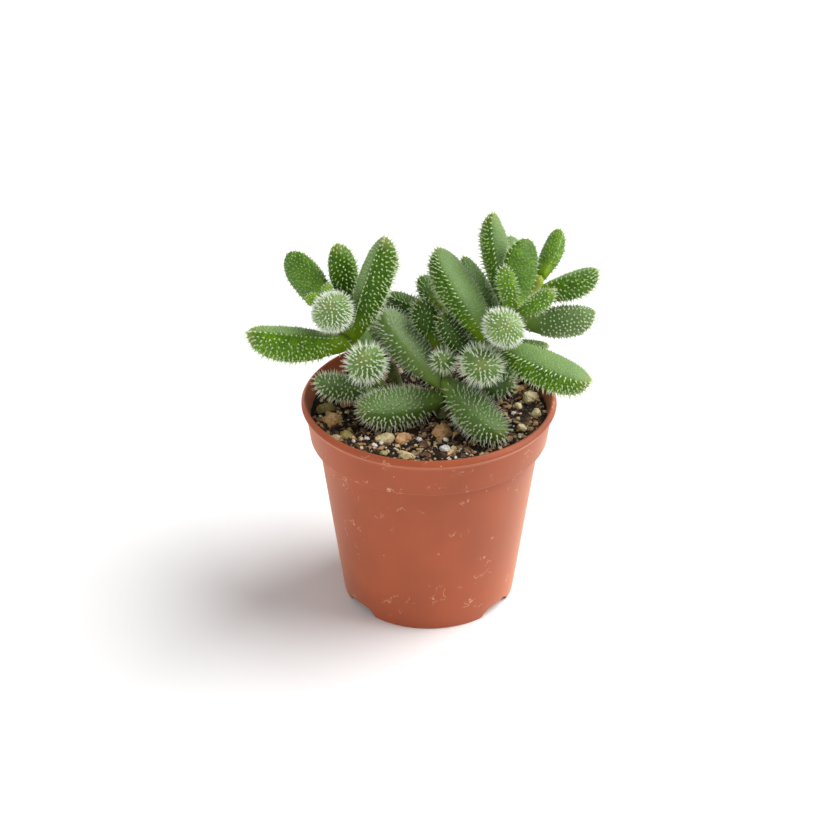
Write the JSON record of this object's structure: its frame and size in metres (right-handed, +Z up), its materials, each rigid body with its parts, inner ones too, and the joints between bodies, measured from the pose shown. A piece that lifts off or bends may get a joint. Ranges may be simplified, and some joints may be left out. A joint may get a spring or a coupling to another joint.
{
  "type": "potted pickle plant",
  "caption": "Small pickle plant with plump bristly leaves on branching shoots, growing in gravelly soil in a round notched nursery pot.",
  "frame": {"origin": "middle of the pot's foot ring, on the surface that the pot stands on", "axes": "+Z up along the pot's axis; the plant's broad side faces -Y, with +X to its right"},
  "size_m": [0.0762, 0.0554, 0.0856],
  "materials": {
    "pot": "matte",
    "soil": "matte",
    "stem": "satin",
    "leaf": "satin",
    "young_leaf": "satin",
    "stone_tan": "matte",
    "stone_olive": "matte",
    "stone_orange": "matte",
    "stone_cream_cluster": "matte",
    "stone_rust": "matte",
    "stone_angular": "matte",
    "stone_white": "matte",
    "stone_pale": "matte",
    "stone_yellow": "matte"
  },
  "bodies": {
    "root": {"pot": "pot", "soil": "soil", "stem_left": "stem", "stem_right": "stem", "stem_middle": "stem", "stem_back_left": "stem", "stem_back_right": "stem", "leaf_left_low_side": "leaf", "leaf_left_low_front": "leaf", "leaf_left_low_back": "young_leaf", "leaf_left_big_side": "leaf", "leaf_left_big_upright": "leaf", "leaf_left_head_front": "leaf", "leaf_left_head_back": "leaf", "leaf_left_bud_front": "young_leaf", "leaf_left_bud_back": "young_leaf", "leaf_right_low_side": "young_leaf", "leaf_right_low_back": "leaf", "leaf_right_low_front": "leaf", "leaf_right_big_upright": "leaf", "leaf_right_big_side": "leaf", "leaf_right_head_front": "leaf", "leaf_right_head_back": "leaf", "leaf_right_young_upright": "young_leaf", "leaf_right_young_side": "young_leaf", "leaf_middle_ground_left": "leaf", "leaf_middle_ground_right": "leaf", "leaf_middle_wide": "leaf", "leaf_middle_small_front": "young_leaf", "leaf_right_low_inner": "leaf", "leaf_middle_high_left": "leaf", "leaf_middle_high_back": "young_leaf", "leaf_middle_tip": "young_leaf", "leaf_back_left_upright": "leaf", "leaf_back_left_inner": "leaf", "leaf_back_left_outer": "leaf", "leaf_back_left_low": "leaf", "leaf_back_right_inner": "leaf", "leaf_back_right_low": "leaf", "leaf_back_right_small": "young_leaf", "leaf_back_right_side": "leaf", "leaf_back_right_upright": "leaf", "leaf_back_right_outer": "leaf", "leaf_back_right_back": "leaf", "leaf_back_right_top": "leaf", "stone_tan": "stone_tan", "stone_olive": "stone_olive", "stone_orange": "stone_orange", "stone_cream_cluster": "stone_cream_cluster", "stone_rust": "stone_rust", "stone_angular": "stone_angular", "stone_white": "stone_white", "stone_pale": "stone_pale", "stone_yellow": "stone_yellow"}
  },
  "joints": []
}
